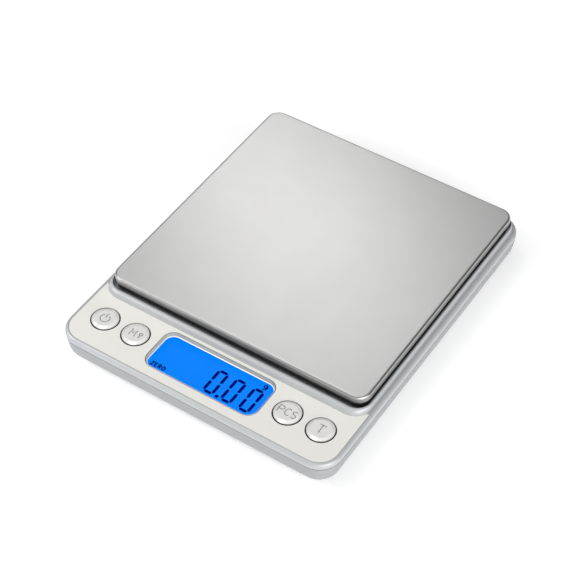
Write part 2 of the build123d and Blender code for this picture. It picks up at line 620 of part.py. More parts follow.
with BuildPart() as lcd_glass:
    block(glass_width, glass_depth, 0, GLASS_LOW, GLASS_TOP, (0, glass_y))
    # the upper sheet stops short, so the lower one leaves a ledge for the contacts
    block(glass_width, 0.8, 0, GLASS_TOP - 0.9, GLASS_TOP, (0, glass_front + 0.4), mode=Mode.SUBTRACT)
save(lcd_glass, "lcd_glass")

with BuildPart() as light_guide:
    block(
        glass_width - 2.4, guide_depth, 0.5, BOARD_TOP, BOARD_TOP + LIGHT_GUIDE_THICKNESS,
        (0, guide_front + guide_depth / 2),
    )
save(light_guide, "light_guide")

with BuildPart() as contact_strip:
    block(glass_width - 4, ZEBRA_WIDTH, 0, BOARD_TOP, GLASS_LOW, (0, glass_front + 0.2 + ZEBRA_WIDTH / 2))
save(contact_strip, "contact_strip")

with BuildPart() as lcd_frame:
    block(
        glass_width + 0.2 + 2 * frame_wall, glass_depth + 0.2 + 2 * frame_wall, 0.4,
        BOARD_TOP, GLASS_LOW + 1.0, (0, glass_y),
    )
    block(glass_width + 0.2, glass_depth + 0.2, 0, GLASS_LOW, GLASS_TOP, (0, glass_y), mode=Mode.SUBTRACT)
    # the glass stands on a ledge at both ends and at the back
    block(
        glass_width - 2 * FRAME_LEDGE, glass_depth - FRAME_LEDGE + 0.1, 0, BOARD_TOP, GLASS_LOW,
        (0, glass_y - FRAME_LEDGE / 2 - 0.05), mode=Mode.SUBTRACT,
    )
save(lcd_frame, "lcd_frame")

# ---------------------------------------------------------------- board, chip and board screws
with BuildPart() as main_board:
    board_depth = BOARD_BACK - BOARD_FRONT
    board_y = (BOARD_BACK + BOARD_FRONT) / 2
    block(BOARD_WIDTH, board_depth, 2.0, BOARD_LOW, BOARD_TOP, (0, board_y))
    posts(BOARD_SCREW_RADIUS + 0.2, BOARD_LOW - 1, BOARD_TOP + 1, BOARD_SCREWS, mode=Mode.SUBTRACT)
save(main_board, "main_board")

with BuildPart() as board_chips:
    posts(5.0, BOARD_LOW - 1.0, BOARD_LOW, [(-8.0, board_y)])
    fillet(board_chips.faces().sort_by(Axis.Z)[0].edges(), radius=0.9)
    block(5.0, 4.0, 0, BOARD_LOW - 1.3, BOARD_LOW, (12.0, board_y))
    block(6.0, 2.2, 0, BOARD_LOW - 1.5, BOARD_LOW, (24.0, board_y + 3.0))
save(board_chips, "board_chips")

with BuildPart() as board_screws:
    posts(BOARD_SCREW_RADIUS, BOARD_LOW - 0.5, BOARD_TOP + 3.8, BOARD_SCREWS)
    posts(BOARD_SCREW_HEAD, BOARD_LOW - 1.2, BOARD_LOW, BOARD_SCREWS)
    with BuildSketch(Plane.XY.offset(BOARD_LOW - 1.2)):
        with Locations(*BOARD_SCREWS):
            Rectangle(2.0, 0.4)
            Rectangle(0.4, 2.0)
    extrude(amount=0.6, mode=Mode.SUBTRACT)
save(board_screws, "board_screws")

with BuildPart() as housing_screws:
    posts(SCREW_RADIUS, BASE + 2.3, BASE + 9.0, BODY_SCREWS)
    posts(SCREW_HEAD_RADIUS, BASE + 0.9, BASE + 2.5, BODY_SCREWS)
    with BuildSketch(Plane.XY.offset(BASE + 0.9)):
        with Locations(*BODY_SCREWS):
            Rectangle(2.8, 0.5)
            Rectangle(0.5, 2.8)
    extrude(amount=0.8, mode=Mode.SUBTRACT)
save(housing_screws, "housing_screws")

# ---------------------------------------------------------------- feet
for name, place in FEET.items():
    with BuildPart() as foot:
        posts(FOOT_DIAMETER / 2, 0, BASE + FOOT_RECESS, [place])
        fillet(foot.faces().sort_by(Axis.Z)[0].edges(), radius=0.5)
    save(foot, name)

# ---------------------------------------------------------------- batteries, contacts and springs
names = ("front_battery", "back_battery")
for name, y, facing in zip(names, BATTERY_Y, (-1, 1)):
    nub_end = facing * (BAY_LENGTH / 2 - CONTACT_THICKNESS)
    with BuildPart() as battery:
        with BuildSketch(Plane(origin=(nub_end, y, BATTERY_AXIS), x_dir=(0, 1, 0), z_dir=(-facing, 0, 0))):
            Circle(BATTERY_NUB_DIAMETER / 2)
        extrude(amount=BATTERY_NUB + 0.1)
        start = nub_end - facing * BATTERY_NUB
        with BuildSketch(Plane(origin=(start, y, BATTERY_AXIS), x_dir=(0, 1, 0), z_dir=(-facing, 0, 0))):
            Circle(BATTERY_DIAMETER / 2)
        extrude(amount=BATTERY_LENGTH)
        ends = battery.faces().filter_by(Axis.X).sort_by(SortBy.AREA)[-2:]
        fillet(ends[0].outer_wire().edges() + ends[1].outer_wire().edges(), radius=0.4)
    save(battery, name)


TAB_LENGTH = BAY_WALL + 1.5


def contact_plate(x_low, y, tab):
    """A pressed contact against a bay end, with a tab through the wall where a lead is soldered."""
    block(
        CONTACT_THICKNESS, CONTACT_SIDE, 0,
        BATTERY_AXIS - CONTACT_SIDE / 2, BATTERY_AXIS + CONTACT_SIDE / 2, (x_low + CONTACT_THICKNESS / 2, y),
    )
    if tab:
        block(
            TAB_LENGTH, 2.4, 0, BATTERY_AXIS - CONTACT_THICKNESS / 2, BATTERY_AXIS + CONTACT_THICKNESS / 2,
            (x_low - TAB_LENGTH / 2 + 0.1, y),
        )


with BuildPart() as positive_contact:
    contact_plate(-BAY_LENGTH / 2, BATTERY_Y[0], True)
save(positive_contact, "positive_contact")

with BuildPart() as negative_contact:
    contact_plate(-BAY_LENGTH / 2, BATTERY_Y[1], True)
save(negative_contact, "negative_contact")

with BuildPart() as bridge_contact:
    bridge_x = BAY_LENGTH / 2 - CONTACT_THICKNESS / 2
    block(
        CONTACT_THICKNESS, BATTERY_PITCH + CONTACT_SIDE, 0,
        BATTERY_AXIS - CONTACT_SIDE / 2, BATTERY_AXIS + CONTACT_SIDE / 2, (bridge_x, BAY_Y),
    )
save(bridge_contact, "bridge_contact")

spring_turns = 3.5
spring_height = SPRING_LENGTH - SPRING_WIRE - 0.06
for name, y, facing in zip(("front_spring", "back_spring"), BATTERY_Y, (1, -1)):
    plate_face = facing * (BAY_LENGTH / 2 - CONTACT_THICKNESS)
    coil_start = plate_face - facing * (SPRING_WIRE / 2 + 0.02)
    radius = (SPRING_DIAMETER - SPRING_WIRE) / 2
    with BuildPart() as spring:
        with BuildLine():
            coil = Helix(
                pitch=spring_height / spring_turns, height=spring_height, radius=radius,
                center=(coil_start, y, BATTERY_AXIS), direction=(-facing, 0, 0),
            )
        with BuildSketch(Plane(origin=coil @ 0, z_dir=coil % 0)):
            Circle(SPRING_WIRE / 2)
        sweep(is_frenet=True)
    save(spring, name)

# ---------------------------------------------------------------- battery door
with BuildPart() as battery_door:
    plate_depth = door_back - door_axis_y
    block(
        door_width, plate_depth, 0, BASE, BASE + DOOR_THICKNESS, (0, door_axis_y + plate_depth / 2),
    )
    far_corners = battery_door.edges().filter_by(Axis.Z).group_by(Axis.Y)[-1]
    fillet(far_corners, radius=1.2)
    # rib between the cells, and grip ridges outside
    block(door_width - 8, 1.6, 0, BASE + 1.0, BASE + DOOR_THICKNESS + 1.2, (0, BAY_Y))
    for step in range(4):
        block(14.0, 0.6, 0, BASE - 0.35, BASE + 0.1, (0, door_back - 3.0 - 1.5 * step))
    with BuildSketch(hinge_plane):
        Circle(HINGE_ROLL)
    extrude(amount=door_width / 2, both=True)
    with BuildSketch(hinge_plane):
        Circle(HINGE_PIN)
    extrude(amount=door_width / 2 + HINGE_PIN_LENGTH, both=True)
save(battery_door, "battery_door")

# ---------------------------------------------------------------- wires
def wire(points, radii, radius):
    """A round wire along straight runs joined by arcs."""
    with BuildLine() as route:
        FilletPolyline(*points, radius=radii)
    with BuildSketch(Plane(origin=route.line @ 0, z_dir=route.line % 0)) as section:
        Circle(radius)
    sweep(section.sketch, path=route.line)


with BuildPart() as load_cell_leads:
    for index in range(4):
        x = -7.5 + 1.3 * index
        cell_side = PAN_Y - 4.5
        points = [
            (x, cell_side, CELL_TOP + CELL_LEAD_RADIUS + 0.05),
            (x, cell_side - 5.0, CELL_TOP + CELL_LEAD_RADIUS + 0.05),
            (x - 1, cell_side - 12.0, FLOOR + 0.9),
            (x - 9, cell_side - 26.0, FLOOR + 0.7),
            (x - 20, BOARD_BACK + 8.0, FLOOR + 0.9),
            (x - 20, BOARD_BACK + 0.8, BOARD_TOP + 2.0),
            (x - 20, BOARD_BACK - 3.4, BOARD_TOP + 2.0),
            (x - 20, BOARD_BACK - 3.4, BOARD_TOP),
        ]
        wire(points, [3.5, 4.0, 12.0, 6.0, 2.6, 1.2], CELL_LEAD_RADIUS)
save(load_cell_leads, "load_cell_leads")

tab_end = -BAY_LENGTH / 2 + 0.1 - TAB_LENGTH
# the leads land beside the left board screws
for name, y, reach, board_x in (
    ("positive_lead", BATTERY_Y[0], 3.0, 6.0 - SCREW_BETWEEN_KEYS),
    ("negative_lead", BATTERY_Y[1], 6.0, 3.0 - SCREW_BETWEEN_KEYS),
):
    with BuildPart() as lead:
        lane = tab_end - reach
        points = [
            (tab_end, y, BATTERY_AXIS),
            (lane, y, BATTERY_AXIS),
            (lane - 0.4, y - 9.0, FLOOR + 1.2),
            (lane, y - 30.0, FLOOR + 0.9),
            (board_x, BOARD_BACK + 9.0, FLOOR + 1.0),
            (board_x, BOARD_BACK + 1.2, BOARD_TOP + 2.2),
            (board_x, BOARD_BACK - 2.6, BOARD_TOP + 2.2),
            (board_x, BOARD_BACK - 2.6, BOARD_TOP),
        ]
        wire(points, [1.3 if reach < 4 else 2.6, 4.5, 12.0, 5.0, 2.2, 1.3], LEAD_RADIUS)
    save(lead, name)

print("body", round(BODY_WIDTH, 2), "x", round(BODY_DEPTH, 2), "height", round(PAN_TOP, 2))
print("rim", RIM, "deck", DECK, "hump top", HUMP_TOP, "carrier low", CARRIER_LOW, "pan top", PAN_TOP)
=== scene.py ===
# %% [markdown]
# # A digital gram scale, dressed around its CAD frame
# The imported CAD model holds every shell, key, screw and wire of the scale at its real place.
# This lesson loads it, lights it like a small product on a white table, gives every piece a finish
# made from nodes, and adds the thin things that CAD leaves out: the display's segments and surround, the
# key legends, and snap domes spun in place of the CAD ones.

# %% Load the imported frame
import json
import math

import bmesh
import bpy
from mathutils import Matrix, Vector


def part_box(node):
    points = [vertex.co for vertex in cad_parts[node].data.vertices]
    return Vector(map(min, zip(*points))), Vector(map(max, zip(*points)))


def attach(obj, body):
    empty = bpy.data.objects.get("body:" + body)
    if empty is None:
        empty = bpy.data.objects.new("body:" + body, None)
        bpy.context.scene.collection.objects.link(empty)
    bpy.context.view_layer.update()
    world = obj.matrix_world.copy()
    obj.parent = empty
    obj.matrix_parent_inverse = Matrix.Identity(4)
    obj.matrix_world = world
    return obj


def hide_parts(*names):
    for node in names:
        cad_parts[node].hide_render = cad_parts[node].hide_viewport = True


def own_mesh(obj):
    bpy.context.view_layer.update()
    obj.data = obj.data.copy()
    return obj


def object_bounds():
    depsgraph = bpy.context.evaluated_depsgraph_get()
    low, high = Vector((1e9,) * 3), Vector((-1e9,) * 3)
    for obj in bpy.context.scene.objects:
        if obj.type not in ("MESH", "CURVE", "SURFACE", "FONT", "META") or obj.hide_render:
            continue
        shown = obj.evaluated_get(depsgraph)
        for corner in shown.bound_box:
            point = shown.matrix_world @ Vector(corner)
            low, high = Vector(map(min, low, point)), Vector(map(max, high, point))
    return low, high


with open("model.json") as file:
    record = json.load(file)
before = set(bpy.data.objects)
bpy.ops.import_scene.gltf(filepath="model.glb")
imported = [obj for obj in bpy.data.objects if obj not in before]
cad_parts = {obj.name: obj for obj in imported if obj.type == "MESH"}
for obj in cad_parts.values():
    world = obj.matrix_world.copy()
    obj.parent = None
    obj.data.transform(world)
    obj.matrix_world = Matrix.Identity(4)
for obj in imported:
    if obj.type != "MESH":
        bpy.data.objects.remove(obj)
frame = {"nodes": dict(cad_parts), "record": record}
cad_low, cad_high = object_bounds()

MM = 0.001
nodes = frame["nodes"]
print("pieces in the frame:", len(nodes), "size in mm:", [round(v / MM, 1) for v in cad_high - cad_low])

# %% [markdown]
# ## Where things are
# A node's box says where the CAD put it, so no place below is typed twice. The pan's top is the
# large bright surface that sets the picture, so the camera and the lights are both hung from it.

# %% Places taken from the frame
pan_low, pan_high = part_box("weighing_pan")
pan_centre = (pan_low + pan_high) / 2
pan_top = Vector((pan_centre.x, pan_centre.y, pan_high.z))
print("pan top centre in mm:", [round(v / MM, 2) for v in pan_top])


def middle(node):
    """The centre of a node's box."""
    low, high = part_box(node)
    return (low + high) / 2


# %% [markdown]
# ## The camera
# A product like this is shown from the front right and well above, with a long lens from half a metre,
# so the pan keeps its square look. The camera is placed by a turn, a height angle and a distance from
# the point it looks at, which lies a little in front of the pan.

# %% Camera
CAMERA_TURN = math.radians(33.255)
CAMERA_RISE = math.radians(47.384)
CAMERA_DISTANCE = 559.1 * MM
CAMERA_LENS = 105.38
look_at = pan_top + Vector((3.4, -22.4, 0)) * MM
towards_camera = Vector((
    math.sin(CAMERA_TURN) * math.cos(CAMERA_RISE),
    -math.cos(CAMERA_TURN) * math.cos(CAMERA_RISE),
    math.sin(CAMERA_RISE),
))
camera_data = bpy.data.cameras.new("camera")
camera_data.lens = CAMERA_LENS
camera_data.sensor_width = 36
camera_data.clip_start = 0.01
camera_data.clip_end = 20
camera = bpy.data.objects.new("camera", camera_data)
camera.location = look_at + towards_camera * CAMERA_DISTANCE
camera.rotation_mode = "QUATERNION"
camera.rotation_quaternion = (-towards_camera).to_track_quat("-Z", "Y")
bpy.context.scene.collection.objects.link(camera)
bpy.context.scene.camera = camera
print("camera at mm:", [round(v / MM) for v in camera.location])

# %% [markdown]
# ## The table and the air round it
# The scale stands on a white sheet that runs out of sight. The surroundings are a plain gradient: bright
# overhead, dimmer at the horizon, so the turned-down edge of the pan has something dark and something
# light to mirror. Whites have to stay white, so the plain display transform is used.

# %% Floor and surroundings
scene = bpy.context.scene
scene.view_settings.view_transform = "Standard"
scene.view_settings.look = "None"

FLOOR_REACH = 3.0
floor_mesh = bpy.data.meshes.new("table")
floor_bm = bmesh.new()
bmesh.ops.create_grid(floor_bm, x_segments=8, y_segments=8, size=FLOOR_REACH)
floor_bm.to_mesh(floor_mesh)
floor_bm.free()
floor = bpy.data.objects.new("table", floor_mesh)
floor.location = (0, 0, cad_low.z)
scene.collection.objects.link(floor)

world = bpy.data.worlds.new("studio")
scene.world = world
world.use_nodes = True
air = world.node_tree
backdrop = air.nodes["Background"]
backdrop.inputs["Strength"].default_value = 0.70
BRIGHT_SIDE = Vector((0.15, -0.75, 0.64)).normalized()
direction = air.nodes.new("ShaderNodeTexCoord")
toward_bright = air.nodes.new("ShaderNodeVectorMath")
toward_bright.operation = "DOT_PRODUCT"
toward_bright.inputs[1].default_value = BRIGHT_SIDE
sky = air.nodes.new("ShaderNodeMapRange")
sky.inputs["From Min"].default_value = -0.3
sky.inputs["From Max"].default_value = 0.9
sky.inputs["To Min"].default_value = 0.12
sky.inputs["To Max"].default_value = 1.0
air.links.new(direction.outputs["Generated"], toward_bright.inputs[0])
air.links.new(toward_bright.outputs["Value"], sky.inputs["Value"])
air.links.new(sky.outputs["Result"], backdrop.inputs["Color"])
print("table top at z mm:", round(floor.location.z / MM, 2))

# %% [markdown]
# ## Lights placed by what the pan mirrors
# Satin steel shows a soft picture of the lamp. To put that picture where it is wanted, the line of sight
# is bounced off the pan at two points, and a long softbox is hung between the two bounced lines. The
# brightest band on the steel then runs between those points. The walls are lit by a near box on the left
# and a large far one on the right, and a small box overhead gives the keys their shine.

# %% Lights
SOFTBOX_REACH = 620 * MM
SOFTBOX_WIDTH = 75 * MM
SOFTBOX_POWER = 0.174
BAND_START = Vector((-71, 16, 0)) * MM
BAND_END = Vector((48, -13, 0)) * MM


def mirrored(spot):
    """The place that the camera sees in the pan at a spot on its top."""
    ray = (spot - camera.location).normalized()
    bounced = Vector((ray.x, ray.y, -ray.z))
    return spot + bounced * SOFTBOX_REACH


def area_light(name, centre, along, length, width, power):
    """A rectangular lamp with its long side along a direction, shining at the pan."""
    lamp = bpy.data.lights.new(name, "AREA")
    lamp.shape = "RECTANGLE"
    lamp.size = length
    lamp.size_y = width
    lamp.energy = power
    back = (centre - pan_top).normalized()
    side = (along - back * along.dot(back)).normalized()
    across = back.cross(side)
    placed = bpy.data.objects.new(name, lamp)
    placed.matrix_world = Matrix.Translation(centre) @ Matrix((side, across, back)).transposed().to_4x4()
    scene.collection.objects.link(placed)


band_left = mirrored(pan_top + BAND_START)
band_right = mirrored(pan_top + BAND_END)
softbox_centre = (band_left + band_right) / 2
softbox_length = (band_right - band_left).length
area_light("softbox", softbox_centre, band_right - band_left, softbox_length, SOFTBOX_WIDTH, SOFTBOX_POWER)

# each box: centre, direction of its long side, length, width in metres, power in watts
BOXES = {
    "left_box": ((-0.34, -0.20, 0.26), (0, 1, 0), 0.30, 0.22, 0.98),
    "right_box": ((0.80, -0.40, 0.34), (0.4, 0.9, 0), 1.0, 0.6, 8.0),
    "overhead_box": ((-0.22, -0.04, 0.80), (1, 0, 0), 0.26, 0.26, 0.7),
}
for box_name, (centre, along, length, width, power) in BOXES.items():
    area_light(box_name, Vector(centre), Vector(along), length, width, power)
print("softbox length mm:", round(softbox_length / MM))

# %% [markdown]
# ## Building finishes from nodes
# Every finish starts as one Principled shader with its fixed numbers typed on the shader itself. What
# varies over the surface comes from noise. Object coordinates are in metres, so the size of a speck can be
# said in millimetres, and stretching the noise along an axis turns specks into brush lines.

# %% A plain finish and its noise
def new_finish(name, colour, roughness, metallic=0.0, coat=0.0, specular=0.5):
    """A Principled material with its fixed values set on the shader."""
    finish = bpy.data.materials.new(name)
    finish.use_nodes = True
    shader = finish.node_tree.nodes["Principled BSDF"]
    shader.inputs["Base Color"].default_value = (*colour, 1)
    shader.inputs["Roughness"].default_value = roughness
    shader.inputs["Metallic"].default_value = metallic
    shader.inputs["Coat Weight"].default_value = coat
    shader.inputs["Coat Roughness"].default_value = 0.15
    shader.inputs["Specular IOR Level"].default_value = specular
    finish.diffuse_color = (*colour, 1)
    return finish


def noise_of(finish, size, stretch=(1, 1, 1), detail=3.0, seed=(0, 0, 0)):
    """A noise texture whose features are about one size across, drawn out along chosen axes."""
    tree = finish.node_tree
    place = tree.nodes.new("ShaderNodeTexCoord")
    scale = tree.nodes.new("ShaderNodeMapping")
    scale.inputs["Scale"].default_value = [1 / (size * s) for s in stretch]
    scale.inputs["Location"].default_value = seed
    noise = tree.nodes.new("ShaderNodeTexNoise")
    noise.inputs["Scale"].default_value = 1.0
    noise.inputs["Detail"].default_value = detail
    tree.links.new(place.outputs["Object"], scale.inputs["Vector"])
    tree.links.new(scale.outputs["Vector"], noise.inputs["Vector"])
    return noise.outputs["Fac"]


print("plain finish and noise helpers ready")

# %% [markdown]
# ## What makes a finish real
# Three small helpers feed that noise to the shader: a slight drift of colour, a drift of gloss, and a fine
# grain that tilts the light. Each is weak. Together they keep a surface from looking like one flat colour.

# %% Drift and grain
def drift_colour(finish, dark, light, size, stretch=(1, 1, 1)):
    """Lets the colour wander between two near shades."""
    tree = finish.node_tree
    ramp = tree.nodes.new("ShaderNodeValToRGB")
    ramp.color_ramp.elements[0].position = 0.3
    ramp.color_ramp.elements[0].color = (*dark, 1)
    ramp.color_ramp.elements[1].position = 0.7
    ramp.color_ramp.elements[1].color = (*light, 1)
    tree.links.new(noise_of(finish, size, stretch), ramp.inputs["Fac"])
    tree.links.new(ramp.outputs["Color"], tree.nodes["Principled BSDF"].inputs["Base Color"])
    return finish


def drift_gloss(finish, low, high, size, stretch=(1, 1, 1)):
    """Lets the roughness wander between two values."""
    tree = finish.node_tree
    spread = tree.nodes.new("ShaderNodeMapRange")
    spread.inputs["From Min"].default_value = 0.3
    spread.inputs["From Max"].default_value = 0.7
    spread.inputs["To Min"].default_value = low
    spread.inputs["To Max"].default_value = high
    tree.links.new(noise_of(finish, size, stretch, seed=(7, 3, 1)), spread.inputs["Value"])
    tree.links.new(spread.outputs["Result"], tree.nodes["Principled BSDF"].inputs["Roughness"])
    return finish


def add_grain(finish, size, height, stretch=(1, 1, 1), strength=1.0):
    """A fine relief of one grain size and height."""
    tree = finish.node_tree
    bump = tree.nodes.new("ShaderNodeBump")
    bump.inputs["Strength"].default_value = strength
    bump.inputs["Distance"].default_value = height
    tree.links.new(noise_of(finish, size, stretch, detail=2.0, seed=(2, 5, 9)), bump.inputs["Height"])
    tree.links.new(bump.outputs["Normal"], tree.nodes["Principled BSDF"].inputs["Normal"])
    return finish


def scaled(colour, factor):
    """A colour made darker or lighter."""
    return tuple(min(1.0, c * factor) for c in colour)


print("drift and grain helpers ready")

# %% [markdown]
# ## Stainless steel pan
# The pan is pressed from satin stainless sheet. Its shine is broad, because the sheet was brushed: the
# finish has long fine scratches from front to back, which change both the gloss and the relief. The bend
# and the skirt get painted shade: their colour is darkened in bands by the height below the top, with
# lighter bands between them as painted reflections, so the shade follows the height above the table.

# %% Pan steel
STEEL = (0.85, 0.845, 0.84)
# Painted shade and painted reflection bands on the bend and skirt: colour shares at heights in mm.
PAINTED_BEND_SHADE = (
    (-2.65, 0.34), (-2.30, 0.50), (-1.60, 0.58), (-1.25, 0.60), (-1.05, 0.22), (-0.80, 0.62),
    (-0.45, 0.56), (-0.22, 0.30), (-0.06, 0.50), (-0.01, 1.0),
)


def shade_by_height(finish, top, marks):
    """Paints shade or light into the colour: multiplies it by a share given at heights in mm, measured from
    a top.
    """
    tree = finish.node_tree
    shader = tree.nodes["Principled BSDF"]
    place = tree.nodes.new("ShaderNodeTexCoord")
    axes = tree.nodes.new("ShaderNodeSeparateXYZ")
    height = tree.nodes.new("ShaderNodeMapRange")
    lowest, highest = marks[0][0], marks[-1][0]
    height.inputs["From Min"].default_value = top + lowest * MM
    height.inputs["From Max"].default_value = top + highest * MM
    shades = tree.nodes.new("ShaderNodeValToRGB")
    ramp = shades.color_ramp
    for i, (level, share) in enumerate(marks):
        position = (level - lowest) / (highest - lowest)
        stop = ramp.elements[i] if i < 2 else ramp.elements.new(position)
        stop.position = position
        stop.color = (share, share, share, 1)
    blend = tree.nodes.new("ShaderNodeMix")
    blend.data_type = "RGBA"
    blend.blend_type = "MULTIPLY"
    blend.inputs["Factor"].default_value = 1.0
    colour = shader.inputs["Base Color"].links[0].from_socket
    tree.links.new(place.outputs["Object"], axes.inputs["Vector"])
    tree.links.new(axes.outputs["Z"], height.inputs["Value"])
    tree.links.new(height.outputs["Result"], shades.inputs["Fac"])
    tree.links.new(colour, blend.inputs["A"])
    tree.links.new(shades.outputs["Color"], blend.inputs["B"])
    tree.links.new(blend.outputs["Result"], shader.inputs["Base Color"])
    return finish


pan_steel = new_finish("pan_steel", STEEL, 0.37, metallic=1.0)
drift_colour(pan_steel, scaled(STEEL, 0.985), scaled(STEEL, 1.015), 12 * MM)
# Painted shade: the bend and skirt are darkened by height below the pan's top.
shade_by_height(pan_steel, pan_high.z, PAINTED_BEND_SHADE)
drift_gloss(pan_steel, 0.35, 0.39, 0.35 * MM, stretch=(1, 60, 1))
add_grain(pan_steel, 0.12 * MM, 0.0006 * MM, stretch=(1, 120, 1))
print("pan steel made")

# %% [markdown]
# ## Moulded shells
# The upper shell is plastic with a thin silvery paint. The lower one is a darker grey with less sheen and
# the sparked surface of its mould. The front panel is a warm white overlay, smoother than both.

# %% Shells and front panel
SILVER = (0.432, 0.442, 0.452)
upper_shell = new_finish("upper_shell", SILVER, 0.42, metallic=0.25, coat=0.05)
drift_colour(upper_shell, scaled(SILVER, 0.985), scaled(SILVER, 1.015), 9 * MM)
add_grain(upper_shell, 0.09 * MM, 0.0010 * MM)

LOWER_GREY = (0.308, 0.316, 0.326)
lower_shell = new_finish("lower_shell", LOWER_GREY, 0.50, metallic=0.15, coat=0.0)
drift_colour(lower_shell, scaled(LOWER_GREY, 0.98), scaled(LOWER_GREY, 1.02), 7 * MM)
add_grain(lower_shell, 0.22 * MM, 0.006 * MM)

WARM_WHITE = (0.730, 0.723, 0.686)
face = new_finish("face", WARM_WHITE, 0.34, coat=0.15)
drift_colour(face, scaled(WARM_WHITE, 0.99), scaled(WARM_WHITE, 1.01), 10 * MM)
add_grain(face, 0.10 * MM, 0.0008 * MM)
print("shell finishes made")

# %% [markdown]
# ## Keys, rubber and black mouldings
# The keys are glossy pearl white, with a little metal in the paint, so that their rims catch the lamps.
# Each cap's colour is darkened towards its foot as painted shade for the gap round each key. The carrier
# under the pan is plain black moulding, and the feet are soft rubber, which is never quite black and never
# shiny.

# %% Keys, carrier, feet and foam
PEARL = (0.77, 0.765, 0.74)
# Painted shade: each cap darkens towards its foot, where the gap round the key is shaded.
PAINTED_GAP_SHADE = ((-0.95, 0.05), (-0.62, 0.10), (-0.42, 0.55), (-0.30, 1.0))
key_cap = new_finish("key_cap", PEARL, 0.16, metallic=0.17, coat=0.8)
drift_colour(key_cap, scaled(PEARL, 0.99), scaled(PEARL, 1.01), 3 * MM)
shade_by_height(key_cap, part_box("power_key")[1].z, PAINTED_GAP_SHADE)
add_grain(key_cap, 0.08 * MM, 0.0006 * MM)

BLACK = (0.012, 0.012, 0.013)
carrier_black = new_finish("carrier_black", BLACK, 0.50, specular=0.35)
drift_colour(carrier_black, BLACK, scaled(BLACK, 1.6), 2 * MM)
add_grain(carrier_black, 0.20 * MM, 0.008 * MM)

RUBBER = (0.055, 0.055, 0.058)
foot_rubber = new_finish("foot_rubber", RUBBER, 0.75, specular=0.3)
drift_colour(foot_rubber, scaled(RUBBER, 0.8), scaled(RUBBER, 1.3), 1.2 * MM)
add_grain(foot_rubber, 0.15 * MM, 0.012 * MM)

FOAM = (0.55, 0.55, 0.53)
foam_pad = new_finish("foam_pad", FOAM, 0.90, specular=0.2)
drift_colour(foam_pad, scaled(FOAM, 0.85), scaled(FOAM, 1.1), 0.5 * MM)
add_grain(foam_pad, 0.3 * MM, 0.05 * MM)
print("key, rubber and black finishes made")

# %% [markdown]
# ## The display
# The glass glows blue from the light guide behind it, so its finish gives off light of its own. The window
# over it is clear: a thin, almost invisible skin with a weak sharp reflection, which costs far less than
# bending light through real glass and looks the same at this size.

# %% Display finishes
LCD_BLUE = (0.0, 0.235, 1.06)
lcd_blue = new_finish("lcd_blue", (0.0, 0.005, 0.02), 0.30, specular=0.1)
glow = lcd_blue.node_tree.nodes["Principled BSDF"]
glow.inputs["Emission Strength"].default_value = 1.0
glow_ramp = lcd_blue.node_tree.nodes.new("ShaderNodeValToRGB")
dim_stop, full_stop = glow_ramp.color_ramp.elements
dim_stop.position = 0.3
dim_stop.color = (*scaled(LCD_BLUE, 0.97), 1)
full_stop.position = 0.7
full_stop.color = (*LCD_BLUE, 1)
lcd_blue.node_tree.links.new(noise_of(lcd_blue, 9 * MM), glow_ramp.inputs["Fac"])
lcd_blue.node_tree.links.new(glow_ramp.outputs["Color"], glow.inputs["Emission Color"])
add_grain(lcd_blue, 0.2 * MM, 0.0004 * MM)

lcd_ink = new_finish("lcd_ink", (0.0, 0.001, 0.02), 0.35, specular=0.0)
ink = lcd_ink.node_tree.nodes["Principled BSDF"]
ink.inputs["Emission Color"].default_value = (0.0, 0.003, 0.16, 1)
ink.inputs["Emission Strength"].default_value = 0.9
drift_gloss(lcd_ink, 0.3, 0.4, 0.4 * MM)

clear_window = new_finish("clear_window", (0.0, 0.01, 0.03), 0.06, specular=0.1)
clear_window.node_tree.nodes["Principled BSDF"].inputs["Alpha"].default_value = 0.03
drift_gloss(clear_window, 0.05, 0.08, 4 * MM)

DIFFUSER = (0.80, 0.88, 0.95)
diffuser = new_finish("diffuser", DIFFUSER, 0.30, specular=0.5)
diffuser_shader = diffuser.node_tree.nodes["Principled BSDF"]
diffuser_shader.inputs["Emission Color"].default_value = (0.2, 0.5, 1.0, 1)
diffuser_shader.inputs["Emission Strength"].default_value = 0.05
drift_colour(diffuser, scaled(DIFFUSER, 0.95), DIFFUSER, 1.5 * MM)
print("display finishes made")

# %% [markdown]
# ## What is inside
# Nobody sees the board or the load cell until the case is opened, but each has its own stuff: green
# solder mask over copper, milled aluminium, tinned spring wire, zinc plated screws, PVC on the leads.

# %% Finishes for the inside
def simple_finish(name, colour, roughness, metallic, grain_size, grain_height, stretch=(1, 1, 1)):
    """A finish with a slight colour drift and one grain, for the small hidden pieces."""
    finish = new_finish(name, colour, roughness, metallic)
    drift_colour(finish, scaled(colour, 0.92), scaled(colour, 1.06), grain_size * 8)
    add_grain(finish, grain_size, grain_height, stretch)
    return finish


